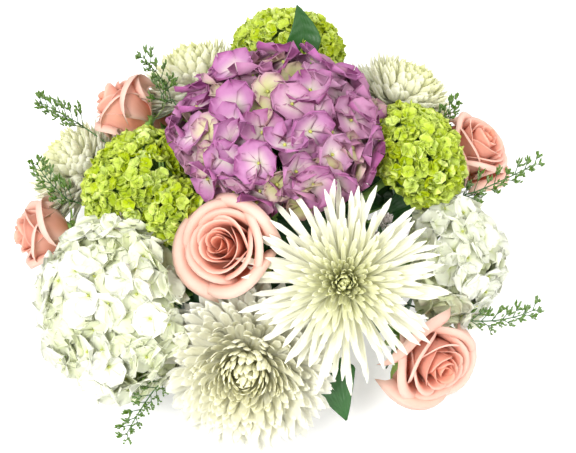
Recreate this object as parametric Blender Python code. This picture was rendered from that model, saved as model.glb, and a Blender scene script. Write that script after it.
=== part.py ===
"""Floral table centerpiece.

A low glazed bowl holds a block of floral foam. Every flower, sprig and leaf has its stem in a hole of
its own in the foam, and all the holes point at one place inside it, so no two stems cross.
Metres, +Z up, origin at the centre of the bowl's flat foot, -Y towards the front.
"""
import math
from collections import namedtuple

import bmesh
import bpy
from mathutils import Matrix, Vector

MM = 0.001
GAP = 0.3 * MM                      # clearance between pieces that touch

# Bowl
BOWL_HEIGHT = 58 * MM
RIM_RADIUS = 80 * MM
FOOT_RADIUS = 42 * MM
FOOT_HEIGHT = 5 * MM
BOWL_WALL = 4.4 * MM
BOWL_SEGMENTS = 32
BOWL_STEPS = 6                      # rings up each side of the wall

# Floral foam
FOAM_TOP = 92 * MM
FOAM_RADIUS = 67 * MM               # above the rim
FOAM_CHAMFER = 9 * MM
INSERTION = 26 * MM                 # how deep a stem sits in the foam
HEART = Vector((0.0, 0.0, 62 * MM))  # the place that all stems point away from

STEM_SIDES = 8
STEM_STEPS = 5                      # straight runs in the bent part of a flower stem
FOLLOW_THROUGH = 5 * MM             # straight run of a stem outside the foam

# A flower: the centre of its widest circle (mm), where it faces (degrees), its radius, how far its
# crown stands in front of that circle, and how far its back reaches behind it (mm).
Flower = namedtuple("Flower", "name kind centre bearing lift radius crown back")
FLOWERS = (
    Flower("hydrangea_purple", "hydrangea", (8, 31, 184), 90, 82, 68, 42, 46),
    Flower("hydrangea_white_left", "hydrangea", (-111, -64, 97), -150, 30, 59, 42, 42),
    Flower("hydrangea_white_right", "hydrangea", (135, -20, 97), -11, 25, 41, 32, 34),
    Flower("hydrangea_white_back", "hydrangea", (18, 148, 72), 83, 12, 40, 30, 32),
    Flower("hydrangea_lime_left", "hydrangea", (-97, 24, 129), 164, 42, 39, 30, 32),
    Flower("hydrangea_lime_right", "hydrangea", (107, 32, 154), 18, 45, 35, 28, 32),
    Flower("hydrangea_lime_back", "hydrangea", (15, 138, 148), 84, 38, 36, 28, 34),
    Flower("hydrangea_lime_small", "hydrangea", (-63, -18, 152), -164, 54, 18, 14, 16),
    Flower("spider_mum", "mum", (54, -85, 165), -90, 55, 52, 18, 26),
    Flower("football_mum_front", "mum", (-14, -110, 94), -94, 41, 51, 26, 26),
    Flower("mum_back_left", "mum", (-58, 134, 120), 118, 42, 38, 18, 22),
    Flower("mum_back_right", "mum", (105, 110, 128), 46, 40, 37, 18, 22),
    Flower("mum_left", "mum", (-150, 76, 80), 154, 32, 38, 17, 20),
    Flower("rose_center", "rose", (-28, -62, 175), -128, 55, 32, 20, 28),
    Flower("rose_upper_left", "rose", (-112, 92, 138), 153, 27, 29, 20, 28),
    Flower("rose_left", "rose", (-176, 15, 79), -168, 14, 28, 20, 28),
    Flower("rose_right", "rose", (157, 62, 126), 12, 50, 29, 20, 28),
    Flower("rose_lower_right", "rose", (120, -96, 77), -59, 22, 33, 22, 28),
    Flower("rose_back_left", "rose", (-92, 138, 72), 122, 14, 26, 19, 26),
    Flower("rose_back_right", "rose", (98, 146, 74), 54, 16, 26, 19, 26),
)
STEM_RADIUS = {"hydrangea": 3.0 * MM, "mum": 2.7 * MM, "rose": 2.6 * MM}

# Head outlines, base to top, as (share of the radius, height). Heights from 0 to 1 are shares of the back
# of the head, up to where it is widest, and those from 1 to 2 are shares of its crown.
HYDRANGEA_OUTLINE = ((0.10, 0.0), (0.46, 0.3), (0.84, 0.62), (1.0, 1.0),
                     (0.95, 1.32), (0.80, 1.62), (0.55, 1.86), (0.26, 1.98), (0.0, 2.0))
MUM_OUTLINE = ((0.12, 0.0), (0.42, 0.42), (0.84, 0.78), (1.0, 1.0),
               (0.86, 1.42), (0.60, 1.78), (0.28, 1.97), (0.0, 2.0))
ROSE_OUTLINE = ((0.17, 0.0), (0.46, 0.16), (0.80, 0.48), (1.0, 1.0), (0.95, 1.24),
                (0.74, 1.10), (0.62, 1.30), (0.52, 1.88), (0.30, 2.0), (0.0, 1.76))

# A leaf: where its stalk points (degrees), how far from the heart its blade starts (mm), the blade's
# length and width (mm), and how far the blade turns downwards, sideways and about itself (degrees).
Leaf = namedtuple("Leaf", "name bearing lift reach length width droop sway roll")
LEAVES = (
    Leaf("leaf_back", 76, 43.5, 150, 50, 22, -20, 45, 0),
    Leaf("leaf_right_inner", 8, 27, 96, 46, 24, 8, 10, 20),
    Leaf("leaf_right_outer", -38, 30, 96, 46, 24, 20, 30, 20),
    Leaf("leaf_collar_right", 34, 4, 84, 74, 36, 24, 0, 0),
    Leaf("leaf_collar_front_right", -66, 4, 84, 62, 34, 40, 0, 0),
    Leaf("leaf_collar_left", -178, 4, 84, 52, 32, 55, -10, 0),
    Leaf("leaf_collar_back", 136, 4, 84, 60, 34, 45, 0, 0),
)
LEAF_STALK_RADIUS = 1.3 * MM
LEAF_THICKNESS = 0.9 * MM
LEAF_FOLD = 0.22                    # rise of each half of a blade for its width

# A sprig: where its stem points, how far from the heart its first side branch is (mm), the length that
# carries branches, how it bends, and the number and length of its side branches.
Sprig = namedtuple("Sprig", "name bearing lift reach length droop sway branches branch_length")
SPRIGS = (
    Sprig("sprig_upper_left", 129, 38, 136, 46, -10, 15, 6, 18),
    Sprig("sprig_left_high", 149, 20, 170, 42, -14, 25, 6, 14),
    Sprig("sprig_left_low", 169, 15, 150, 44, -25, -40, 6, 14),
    Sprig("sprig_front_left", -123, 9, 134, 54, 15, 8, 7, 17),
    Sprig("sprig_right_high", 7.5, 22, 150, 66, 0, 12, 7, 19),
    Sprig("sprig_right_middle", 14, 12, 156, 84, -5, -35, 8, 26),
    Sprig("sprig_right_low", -24, 6.5, 148, 62, -5, 42, 7, 14),
    Sprig("sprig_upper_right", 31.5, 25.5, 150, 40, -34, -20, 4, 7),
    Sprig("filler_sprig_left", -168, 36.5, 102, 30, 0, -6, 6, 8),
    Sprig("filler_sprig_right", -20, 42, 112, 30, 0, 10, 6, 12),
)
SPRIG_RADIUS = 1.1 * MM
SPRIG_SIDES = 6
CUTTER_SIDES = 8

# Finishes: colour, roughness
FINISHES = {
    "bowl_glaze": ((0.86, 0.84, 0.78), 0.18),
    "foam_green": ((0.05, 0.13, 0.05), 0.95),
    "stem_green": ((0.16, 0.30, 0.07), 0.55),
    "leaf_green": ((0.03, 0.11, 0.03), 0.42),
    "sprig_green": ((0.05, 0.13, 0.05), 0.6),
    "filler_mauve": ((0.42, 0.38, 0.34), 0.7),
    "petal_purple": ((0.50, 0.20, 0.48), 0.5),
    "petal_white": ((0.85, 0.88, 0.74), 0.5),
    "petal_lime": ((0.46, 0.66, 0.10), 0.5),
    "petal_cream": ((0.88, 0.86, 0.62), 0.45),
    "petal_peach": ((0.90, 0.42, 0.34), 0.45),
}


def clear_scene():
    for old in list(bpy.data.objects):
        bpy.data.objects.remove(old, do_unlink=True)


def finish(name):
    """The Principled material of that name, made on first use."""
    made = bpy.data.materials.get(name)
    if made is None:
        colour, roughness = FINISHES[name]
        made = bpy.data.materials.new(name)
        made.use_nodes = True
        shader = made.node_tree.nodes["Principled BSDF"]
        shader.inputs["Base Color"].default_value = (*colour, 1.0)
        shader.inputs["Roughness"].default_value = roughness
        shader.inputs["Metallic"].default_value = 0.0
    return made


def add_object(name, bm, finish_name, smooth=True):
    """Put a bmesh into the scene as a named object with its finish."""
    bmesh.ops.recalc_face_normals(bm, faces=bm.faces)
    mesh = bpy.data.meshes.new(name)
    bm.to_mesh(mesh)
    bm.free()
    if smooth:
        mesh.shade_smooth()
        mesh.set_sharp_from_angle(angle=math.radians(40))
    piece = bpy.data.objects.new(name, mesh)
    piece.data.materials.append(finish(finish_name))
    bpy.context.scene.collection.objects.link(piece)
    return piece


def direction(bearing, lift):
    """A unit vector: bearing in degrees from +X towards +Y, lift in degrees above level."""
    b = math.radians(bearing)
    up = math.radians(lift)
    return Vector((math.cos(b) * math.cos(up), math.sin(b) * math.cos(up), math.sin(up)))


def loft(rings):
    """A closed solid through equal rings of points, with the first and the last filled flat."""
    bm = bmesh.new()
    rows = [[bm.verts.new(point) for point in ring] for ring in rings]
    count = len(rows[0])
    for near, far in zip(rows, rows[1:]):
        for i in range(count):
            bm.faces.new((near[i], near[(i + 1) % count], far[(i + 1) % count], far[i]))
    bm.faces.new(rows[0][::-1])
    bm.faces.new(rows[-1])
    return bm


def circle(centre, side, up, radius, sides, phase=0.0):
    """Points round a circle in the plane of side and up."""
    turns = [phase + 2 * math.pi * i / sides for i in range(sides)]
    return [centre + radius * (math.cos(a) * side + math.sin(a) * up) for a in turns]


def headings(points):
    """The direction of travel at each point of a path."""
    runs = [(b - a).normalized() for a, b in zip(points, points[1:])]
    middle = [(a + b).normalized() for a, b in zip(runs, runs[1:])]
    return [runs[0], *middle, runs[-1]]


def tube(points, radius, sides, last=None):
    """A closed round rod of one radius along a path, without twist; last squares its far end."""
    travel = headings(points)
    if last is not None:
        travel[-1] = last
    side = travel[0].orthogonal().normalized()
    rings = []
    for point, heading in zip(points, travel):
        side = (side - heading * side.dot(heading)).normalized()
        rings.append(circle(point, side, heading.cross(side), radius, sides))
    return loft(rings)


# ---------------------------------------------------------------- bowl and foam

def wall_curve(foot, rim, low, high, steps):
    """Points up a rounded bowl wall, level at its foot and upright at its rim."""
    turns = [math.pi / 2 * i / steps for i in range(steps + 1)]
    return [(foot + (rim - foot) * math.sin(a), low + (high - low) * (1 - math.cos(a))) for a in turns]


def turned_solid(profile, segments):
    """A closed solid turned about +Z from (radius, height) points, flat where it starts and ends."""
    rings = []
    for radius, height in profile:
        ring_centre = Vector((0, 0, height))
        rings.append(circle(ring_centre, Vector((1, 0, 0)), Vector((0, 1, 0)), radius, segments))
    return loft(rings)


LIP = BOWL_WALL / 2
RIM_LEVEL = BOWL_HEIGHT - LIP       # where the wall ends and the rounded lip starts
FLOOR_LEVEL = FOOT_HEIGHT + BOWL_WALL


def make_bowl():
    outside = wall_curve(FOOT_RADIUS + 2 * MM, RIM_RADIUS, FOOT_HEIGHT, RIM_LEVEL, BOWL_STEPS)
    inside = wall_curve(FOOT_RADIUS - 2 * MM, RIM_RADIUS - BOWL_WALL, FLOOR_LEVEL, RIM_LEVEL, BOWL_STEPS)
    lip_turns = [math.pi * i / 4 for i in (1, 2, 3)]
    lip = [(RIM_RADIUS - LIP + LIP * math.cos(a), RIM_LEVEL + LIP * math.sin(a)) for a in lip_turns]
    foot = [(FOOT_RADIUS - 0.6 * MM, 0), (FOOT_RADIUS, 0.6 * MM)]
    return add_object("bowl", turned_solid(foot + outside + lip + inside[::-1], BOWL_SEGMENTS), "bowl_glaze")


def foam_exit(way):
    """How far from the heart a straight stem leaves the foam."""
    level = math.hypot(way.x, way.y)
    through_side = FOAM_RADIUS / max(level, 1e-6)
    through_top = (FOAM_TOP - HEART.z) / max(way.z, 1e-6)
    return min(through_side, through_top)


def seat(way):
    """How far from the heart the cut end of a stem is."""
    return max(foam_exit(way) - INSERTION, 10 * MM)


def make_foam(stalks):
    """The foam block, with a hole for each (direction, radius) stalk."""
    fit = wall_curve(FOOT_RADIUS - 2 * MM, RIM_RADIUS - BOWL_WALL, FLOOR_LEVEL, RIM_LEVEL, BOWL_STEPS)
    in_bowl = [(radius - GAP, height + GAP) for radius, height in fit]
    above = [(FOAM_RADIUS, RIM_LEVEL + 6 * MM), (FOAM_RADIUS, FOAM_TOP - FOAM_CHAMFER),
             (FOAM_RADIUS - FOAM_CHAMFER, FOAM_TOP)]
    foam = add_object("floral_foam", turned_solid(in_bowl + above, BOWL_SEGMENTS), "foam_green", False)
    drills = bpy.data.collections.new("stem_holes")
    bpy.context.scene.collection.children.link(drills)
    for number, (way, radius) in enumerate(stalks):
        bottom = HEART + way * (seat(way) - GAP)
        top = HEART + way * (foam_exit(way) + 2 * INSERTION)
        bore = (radius + GAP) / math.cos(math.pi / CUTTER_SIDES)
        drill = add_object(f"stem_hole_{number:02d}", tube([bottom, top], bore, CUTTER_SIDES), "foam_green")
        bpy.context.scene.collection.objects.unlink(drill)
        drills.objects.link(drill)
        drill.hide_render = True
        drill.display_type = "WIRE"
    cut = foam.modifiers.new("stem_holes", "BOOLEAN")
    cut.operand_type = "COLLECTION"
    cut.collection = drills
    cut.operation = "DIFFERENCE"
    cut.solver = "EXACT"
    return foam


# ---------------------------------------------------------------- flowers

def head_solid(outline, radius, crown, back, segments, ripple):
    """A flower head turned about +Z with its base at the origin; ripple(ring, step) scales each point."""
    bm = bmesh.new()
    rows = []
    for ring, (share, level) in enumerate(outline[:-1]):
        height = back * level if level <= 1 else back + crown * (level - 1)
        row = []
        for step in range(segments):
            angle = 2 * math.pi * step / segments
            r = radius * share * (ripple(ring, step) if ring > 0 else 1.0)
            row.append(bm.verts.new((r * math.cos(angle), r * math.sin(angle), height)))
        rows.append(row)
    for near, far in zip(rows, rows[1:]):
        for i in range(segments):
            bm.faces.new((near[i], near[(i + 1) % segments], far[(i + 1) % segments], far[i]))
    bm.faces.new(rows[0][::-1])
    tip = bm.verts.new((0, 0, back + crown * (outline[-1][1] - 1)))
    for i in range(segments):
        bm.faces.new((rows[-1][i], rows[-1][(i + 1) % segments], tip))
    return bm


def hydrangea_ripple(ring, step):
    """Alternating bumps for the florets of a round head."""
    return 1.0 + (0.035 if (ring + step) % 2 else -0.035)


def mum_ripple(ring, step):
    """Rays of petals."""
    return 1.0 + (0.05 if step % 2 else -0.05)


def rose_ripple(ring, step):
    """Five overlapping outer petals; the bud inside is rounder."""
    depth = 0.05 if ring <= 5 else 0.03
    return 1.0 + depth * math.cos(math.radians(90) * step)


HEADS = {
    "hydrangea": (HYDRANGEA_OUTLINE, 18, hydrangea_ripple),
    "mum": (MUM_OUTLINE, 24, mum_ripple),
    "rose": (ROSE_OUTLINE, 20, rose_ripple),
}
PETAL_FINISH = (("purple", "petal_purple"), ("white", "petal_white"), ("lime", "petal_lime"),
                ("mum", "petal_cream"), ("rose", "petal_peach"))


def petal_finish(name):
    return next(finish_name for word, finish_name in PETAL_FINISH if word in name)


def head_base(flower):
    """Where the stem meets the head, and the way the head faces."""
    face = direction(flower.bearing, flower.lift)
    return Vector(flower.centre) * MM - face * flower.back * MM, face


def make_head(flower):
    outline, segments, ripple = HEADS[flower.kind]
    bm = head_solid(outline, flower.radius * MM, flower.crown * MM, flower.back * MM, segments, ripple)
    head = add_object(flower.name, bm, petal_finish(flower.name))
    base, face = head_base(flower)
    head.matrix_world = Matrix.Translation(base) @ face.to_track_quat("Z", "Y").to_matrix().to_4x4()
    return head


def flower_way(flower):
    """The way a flower's stem points in the foam."""
    base, _ = head_base(flower)
    return (base - HEART).normalized()


def make_stem(flower):
    """A stem from its hole in the foam to the back of its head, bent to meet the head square."""
    base, face = head_base(flower)
    way = flower_way(flower)
    start = HEART + way * seat(way)
    leave = HEART + way * (foam_exit(way) + FOLLOW_THROUGH)
    end = base - face * GAP
    pull = (end - leave).length / 3
    bends = [leave]
    for step in range(1, STEM_STEPS + 1):
        t = step / STEM_STEPS
        a, b, c, d = leave, leave + way * pull, end - face * pull, end
        bends.append((1 - t) ** 3 * a + 3 * t * (1 - t) ** 2 * b + 3 * t * t * (1 - t) * c + t ** 3 * d)
    stem = tube([start, *bends], STEM_RADIUS[flower.kind], STEM_SIDES, last=face)
    return add_object(flower.name + "_stem", stem, "stem_green")


# ---------------------------------------------------------------- leaves and sprigs

def bent_path(start, way, length, droop, sway, steps):
    """Points along a stalk that turns steadily down and sideways, with the heading at each."""
    points = [start]
    travel = [way.normalized()]
    for _ in range(steps):
        heading = travel[-1]
        level_side = heading.cross(Vector((0, 0, 1))).normalized()
        down = Matrix.Rotation(math.radians(-droop / steps), 3, level_side)
        turn = Matrix.Rotation(math.radians(sway / steps), 3, "Z")
        heading = (turn @ down @ heading).normalized()
        points.append(points[-1] + heading * length / steps)
        travel.append(heading)
    return points, travel


def leaf_section(centre, heading, roll, half_width, thickness):
    """Six points round a leaf: flat with thin edges, folded up a little along its midrib."""
    level_side = heading.cross(Vector((0, 0, 1))).normalized()
    side = Matrix.Rotation(math.radians(roll), 3, heading) @ level_side
    up = side.cross(heading)
    fold = LEAF_FOLD * half_width
    half = thickness / 2
    shape = ((-1, 1.0, 0.0), (-0.45, 0.3, 1), (0.45, 0.3, 1), (1, 1.0, 0.0), (0.45, 0.3, -1), (-0.45, 0.3, -1))
    return [centre + side * x * half_width + up * (rise * fold + face * half) for x, rise, face in shape]


def make_leaf(leaf):
    way = direction(leaf.bearing, leaf.lift)
    foot = HEART + way * seat(way)
    neck = HEART + way * leaf.reach * MM
    stations = 7
    points, travel = bent_path(neck, way, leaf.length * MM, leaf.droop, leaf.sway, stations)
    stalk = LEAF_STALK_RADIUS
    rings = [leaf_section(p, way, leaf.roll, stalk, 2 * stalk) for p in (foot, neck - way * 4 * MM)]
    for i in range(1, stations):
        share = i / stations
        half_width = leaf.width * MM / 2 * math.sin(math.pi * share ** 0.8) ** 0.8 + stalk
        rings.append(leaf_section(points[i], travel[i], leaf.roll, half_width, LEAF_THICKNESS))
    rings.append(leaf_section(points[-1], travel[-1], leaf.roll, 0.6 * MM, 0.6 * MM))
    return add_object(leaf.name, loft(rings), "leaf_green")


def make_sprig(sprig):
    """A thin stem with side branches drawn out of its left and right faces in turn."""
    way = direction(sprig.bearing, sprig.lift)
    foot = HEART + way * seat(way)
    first = HEART + way * sprig.reach * MM
    joints = sprig.branches + 1
    points, travel = bent_path(first, way, sprig.length * MM, sprig.droop, sprig.sway, joints)
    path = [foot, *points]
    travel = [way, *travel]
    rings = []
    for i, (point, heading) in enumerate(zip(path, travel)):
        side = heading.cross(Vector((0, 0, 1))).normalized()
        radius = SPRIG_RADIUS * (1.0 if i < 2 else 1 - 0.6 * (i - 1) / joints)
        rings.append(circle(point, side, side.cross(heading), radius, SPRIG_SIDES, math.radians(30)))
    bm = loft(rings)
    bm.faces.ensure_lookup_table()
    for number in range(sprig.branches):
        run = 1 + number
        toward = 1 if number % 2 else -1
        heading = travel[run]
        side = heading.cross(Vector((0, 0, 1))).normalized() * toward
        middle = (path[run] + path[run + 1]) / 2
        face = max(bm.faces, key=lambda f: (f.calc_center_median() - middle).dot(side)
                   - 4 * (f.calc_center_median() - middle - side * SPRIG_RADIUS).length)
        length = sprig.branch_length * MM * (1 - 0.45 * number / sprig.branches)
        branch = (heading * 0.72 + side * 0.69).normalized() * length
        for part, shrink in ((0.5, 0.8), (0.5, 0.6)):
            drawn = bmesh.ops.extrude_discrete_faces(bm, faces=[face])["faces"][0]
            centre = drawn.calc_center_median()
            for vert in drawn.verts:
                vert.co = centre + (vert.co - centre) * shrink + branch * part
            face = drawn
    finish_name = "filler_mauve" if sprig.name.startswith("filler") else "sprig_green"
    return add_object(sprig.name, bm, finish_name)


def main():
    clear_scene()
    make_bowl()
    stalks = [(flower_way(flower), STEM_RADIUS[flower.kind]) for flower in FLOWERS]
    stalks += [(direction(leaf.bearing, leaf.lift), LEAF_STALK_RADIUS) for leaf in LEAVES]
    stalks += [(direction(sprig.bearing, sprig.lift), SPRIG_RADIUS) for sprig in SPRIGS]
    make_foam(stalks)
    for flower in FLOWERS:
        make_head(flower)
        make_stem(flower)
    for leaf in LEAVES:
        make_leaf(leaf)
    for sprig in SPRIGS:
        make_sprig(sprig)


main()
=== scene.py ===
# %% [markdown]
# A floral table centerpiece: hydrangeas, roses and chrysanthemums in a bowl of floral foam. The solid
# model gives each head, stem, leaf and sprig its place. This lesson grows the petals on it.

# %% The frame
import math

import bpy
import numpy as np
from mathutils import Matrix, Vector


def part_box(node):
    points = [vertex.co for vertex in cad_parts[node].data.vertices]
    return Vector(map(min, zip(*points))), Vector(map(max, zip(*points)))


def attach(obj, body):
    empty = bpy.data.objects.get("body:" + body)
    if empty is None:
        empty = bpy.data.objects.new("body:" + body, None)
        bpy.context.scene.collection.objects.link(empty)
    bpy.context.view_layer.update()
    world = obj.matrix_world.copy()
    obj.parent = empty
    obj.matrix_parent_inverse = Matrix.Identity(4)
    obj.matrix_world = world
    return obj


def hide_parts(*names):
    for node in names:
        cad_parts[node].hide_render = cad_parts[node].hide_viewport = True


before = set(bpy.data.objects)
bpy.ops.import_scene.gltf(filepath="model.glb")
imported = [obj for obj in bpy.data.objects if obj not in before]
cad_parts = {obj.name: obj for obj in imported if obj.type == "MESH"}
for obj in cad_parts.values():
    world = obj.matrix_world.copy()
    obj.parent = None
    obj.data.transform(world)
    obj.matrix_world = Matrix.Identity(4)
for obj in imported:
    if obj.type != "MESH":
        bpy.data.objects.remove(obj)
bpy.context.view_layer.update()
MM = 0.001
GOLDEN = math.radians(137.508)
LEAF_THICK = 0.5 * MM

# %% [markdown]
# Every flower faces away from its stem. Its place is read from the solid: the last ring of the stem is
# the middle of the head's back, and the mean of the head's points lies on its axis.

# %% Where each head is
def node_points(name):
    """The node's separate points, as an array."""
    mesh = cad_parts[name].data
    found = np.empty(len(mesh.vertices) * 3)
    mesh.vertices.foreach_get("co", found)
    return np.unique(np.round(found.reshape(-1, 3), 5), axis=0)


def unit(v):
    """Vectors scaled to a length of one."""
    return v / np.maximum(np.linalg.norm(v, axis=-1, keepdims=True), 1e-12)


def across(axis):
    """Two unit vectors square to an axis, the first of them level."""
    side = np.cross(np.array([0.0, 0.0, 1.0]), axis)
    side = np.where(np.linalg.norm(side, axis=-1, keepdims=True) < 1e-6, np.array([1.0, 0.0, 0.0]), side)
    side = unit(side)
    return side, np.cross(axis, side)


class Head:
    """A head's own frame: base, axis, radius, and the heights of its widest ring and of its top."""

    def __init__(self, name):
        points, stem = node_points(name), node_points(name + "_stem")
        middle = points.mean(0)
        away = np.linalg.norm(stem - middle, axis=1)
        self.base = stem[away < away.min() + 0.5 * MM].mean(0)
        self.axis = unit(middle - self.base)
        self.side, self.up = across(self.axis)
        local = points - self.base
        height = local @ self.axis
        reach = np.linalg.norm(local - height[:, None] * self.axis, axis=1)
        self.radius = reach.max()
        self.waist = height[reach.argmax()]
        self.top = height.max()

    def place(self, local):
        """Points of the head's frame, in the world."""
        return self.base + local @ np.stack([self.side, self.up, self.axis])


heads = {n[:-5]: Head(n[:-5]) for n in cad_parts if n.endswith("_stem")}
print("heads", len(heads))

# %% [markdown]
# A head holds hundreds of petals, so they aren't modelled one by one. A petal is a small grid of points,
# and NumPy works out all the grids of a head at once. Each grid gets a back and a rim, which makes it a
# thin closed solid, and numbers on its points say where on the petal each one is and how far into the
# head the petal sits, for the materials, which paint shade on the petals sunk into the head.

# %% Batches of thin petals and rods
def sheet_faces(rows, cols):
    """Corners of one petal's faces, and the corners whose place on the map each of them takes."""
    n = np.arange(rows * cols).reshape(rows, cols)
    front = np.stack([n[:-1, :-1], n[:-1, 1:], n[1:, 1:], n[1:, :-1]], -1).reshape(-1, 4)
    back = front[:, ::-1] + rows * cols
    rim = np.concatenate([n[0, :], n[1:, -1], n[-1, -2::-1], n[-2:0:-1, 0]])
    after = np.roll(rim, -1)
    sides = np.stack([after, rim, rim + rows * cols, after + rows * cols], -1)
    flat = np.stack([after, rim, rim, after], -1)
    return np.concatenate([front, back, sides]), np.concatenate([front, back, flat])


def sheets(mid, thickness, depth_colour_and_shade_rank=0.0, tone=None):
    """Thin closed petals over grids of middle points [petal, row, column, xyz]."""
    count, rows, cols, _ = mid.shape
    du = np.gradient(mid, axis=1)
    dv = np.gradient(mid, axis=2)
    normal = unit(np.cross(du, dv))
    s = np.broadcast_to(np.linspace(0, 1, rows)[None, :, None], mid.shape[:3])
    t = np.broadcast_to(np.abs(np.linspace(-1, 1, cols))[None, None, :], mid.shape[:3])
    half = 0.5 * thickness * (1 - 0.6 * np.maximum(t ** 4, s ** 6))[..., None]
    both = np.stack([mid + normal * half, mid - normal * half], 1)
    tone = np.zeros(count) if tone is None else tone
    depth_colour_and_shade_rank = np.broadcast_to(depth_colour_and_shade_rank, (count,))
    fill = np.ones(mid.shape[:3])
    petal = np.stack([s, t, fill * tone[:, None, None]], -1)
    # The head numbers: how far into the head the petal sits, for painted shade, and how near its rim each
    # point is.
    head = np.stack([fill * depth_colour_and_shade_rank[:, None, None], np.maximum(t ** 3, s ** 5), fill * 0], -1)
    cell_u = np.linspace(0.04, 0.46, cols)[None, :] + np.zeros((rows, 1))
    cell_v = np.linspace(0.04, 0.96, rows)[:, None] + np.zeros((1, cols))
    cell = np.stack([cell_u, cell_v], -1).reshape(-1, 2)
    cell = np.concatenate([cell, cell + (0.5, 0.0)])
    faces, map_faces = sheet_faces(rows, cols)
    shift = (np.arange(count) * 2 * rows * cols)[:, None, None]
    return dict(points=both.reshape(-1, 3),
                petal=np.stack([petal, petal], 1).reshape(-1, 3),
                head=np.stack([head, head], 1).reshape(-1, 3),
                faces=[(faces[None] + shift).reshape(-1, 4)], maps=[(map_faces[None] + shift).reshape(-1, 4)],
                cells=np.tile(cell, (count, 1)), owner=np.repeat(np.arange(count), 2 * rows * cols))


def rods(paths, radii, sides, tone=None):
    """Closed round rods along paths [rod, point, xyz], with a radius at each point."""
    count, steps, _ = paths.shape
    travel = unit(np.gradient(paths, axis=1))
    side, up = across(travel[:, :1])
    side = unit(side - travel * (side * travel).sum(-1, keepdims=True))
    up = np.cross(travel, side)
    turn = np.linspace(0, 2 * np.pi, sides, endpoint=False)
    ring = side[:, :, None] * np.cos(turn)[:, None] + up[:, :, None] * np.sin(turn)[:, None]
    points = paths[:, :, None] + ring * np.broadcast_to(radii, (count, steps))[:, :, None, None]
    s = np.broadcast_to(np.linspace(0, 1, steps)[None, :, None], points.shape[:3])
    fill = np.ones(points.shape[:3])
    tone = np.zeros(count) if tone is None else tone
    n = np.arange(steps * sides).reshape(steps, sides)
    wrap = np.roll(n, -1, axis=1)
    m = np.arange(steps * (sides + 1)).reshape(steps, sides + 1)
    wall = np.stack([n[:-1], wrap[:-1], wrap[1:], n[1:]], -1).reshape(-1, 4)
    wall_map = np.stack([m[:-1, :-1], m[:-1, 1:], m[1:, 1:], m[1:, :-1]], -1).reshape(-1, 4)
    caps = np.stack([n[0, ::-1], n[-1]])
    caps_map = np.stack([m[0, -2::-1], m[-1, :-1]])
    u = np.linspace(0.05, 0.95, sides + 1)[None, :] + np.zeros((steps, 1))
    v = np.linspace(0.05, 0.95, steps)[:, None] + np.zeros((1, sides + 1))
    shift = (np.arange(count) * steps * sides)[:, None, None]
    map_shift = (np.arange(count) * steps * (sides + 1))[:, None, None]
    return dict(points=points.reshape(-1, 3),
                petal=np.stack([s, fill * 0, fill * tone[:, None, None]], -1).reshape(-1, 3),
                head=np.zeros((points.size // 3, 3)),
                faces=[(wall + shift).reshape(-1, 4), (caps + shift).reshape(-1, sides)],
                maps=[(wall_map + map_shift).reshape(-1, 4), (caps_map + map_shift).reshape(-1, sides)],
                cells=np.tile(np.stack([u, v], -1).reshape(-1, 2), (count, 1)),
                owner=np.repeat(np.arange(count), steps * (sides + 1)))


print("a sheet of 3 by 3 points has", len(sheet_faces(3, 3)[0]), "faces")

# %% [markdown]
# A real bloom is one piece, so each head's batches become one mesh with a slot for each material. Every
# petal and stalk gets its own cell of the map, so that a texture could be baked without overlaps.

# %% One mesh from many batches
def grown(name, node, parts):
    """A piece for a node. parts holds (material, batch) pairs, joined into one mesh."""
    batches = [batch for _, batch in parts]
    materials = list(dict.fromkeys(material for material, _ in parts))
    cells = sum(b["owner"][-1] + 1 for b in batches)
    per_row = math.ceil(math.sqrt(cells))
    corners, sizes, places, slots = [], [], [], []
    first_point = first_cell = 0
    for material, b in parts:
        owner = b["owner"] + first_cell
        spot = (b["cells"] + np.stack([owner % per_row, owner // per_row], -1)) / per_row
        for faces, maps in zip(b["faces"], b["maps"]):
            corners.append((faces + first_point).ravel())
            places.append(spot[maps.ravel()])
            sizes.append(np.full(len(faces), faces.shape[1]))
            slots.append(np.full(len(faces), materials.index(material)))
        first_point += len(b["points"])
        first_cell = owner[-1] + 1
    points = np.concatenate([b["points"] for b in batches])
    corners, sizes = np.concatenate(corners), np.concatenate(sizes)
    mesh = bpy.data.meshes.new(name)
    mesh.vertices.add(len(points))
    mesh.vertices.foreach_set("co", points.ravel())
    mesh.loops.add(len(corners))
    mesh.loops.foreach_set("vertex_index", corners)
    mesh.polygons.add(len(sizes))
    mesh.polygons.foreach_set("loop_start", np.concatenate([[0], np.cumsum(sizes)[:-1]]))
    mesh.polygons.foreach_set("material_index", np.concatenate(slots))
    mesh.update(calc_edges=True)
    for label in ("petal", "head"):
        values = np.concatenate([b[label] for b in batches])
        layer = mesh.attributes.new(label, "FLOAT_VECTOR", "POINT")
        layer.data.foreach_set("vector", values.ravel())
    layer = mesh.uv_layers.new(name="OFBake")
    layer.uv.foreach_set("vector", np.concatenate(places).ravel())
    for material in materials:
        mesh.materials.append(material)
    mesh.shade_smooth()
    piece = bpy.data.objects.new(name, mesh)
    bpy.context.scene.collection.objects.link(piece)
    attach(piece, "root")
    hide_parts(node)
    print(name, len(sizes), "faces")


# %% [markdown]
# Petals of one head share their colours but not evenly: each is darker or greener where it leaves the
# heart, paler or darker at its rim, and no two are quite alike. Petals sunk into the head, and florets low
# on a hydrangea's dome, take a fourth colour that is painted shade; at a mum's eye and a rose's heart it
# is partly their own colour as well. One node group mixes those colours from the numbers that the petals
# carry, and each flower's material sets its own four colours.

# %% The petal colour group
def group_of(name, inputs, outputs):
    """An empty node group with these sockets, and its input and output nodes."""
    tree = bpy.data.node_groups.new(name, "ShaderNodeTree")
    for label, kind in inputs:
        tree.interface.new_socket(label, in_out="INPUT", socket_type=kind)
    for label, kind in outputs:
        tree.interface.new_socket(label, in_out="OUTPUT", socket_type=kind)
    return tree, tree.nodes.new("NodeGroupInput"), tree.nodes.new("NodeGroupOutput")


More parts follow.
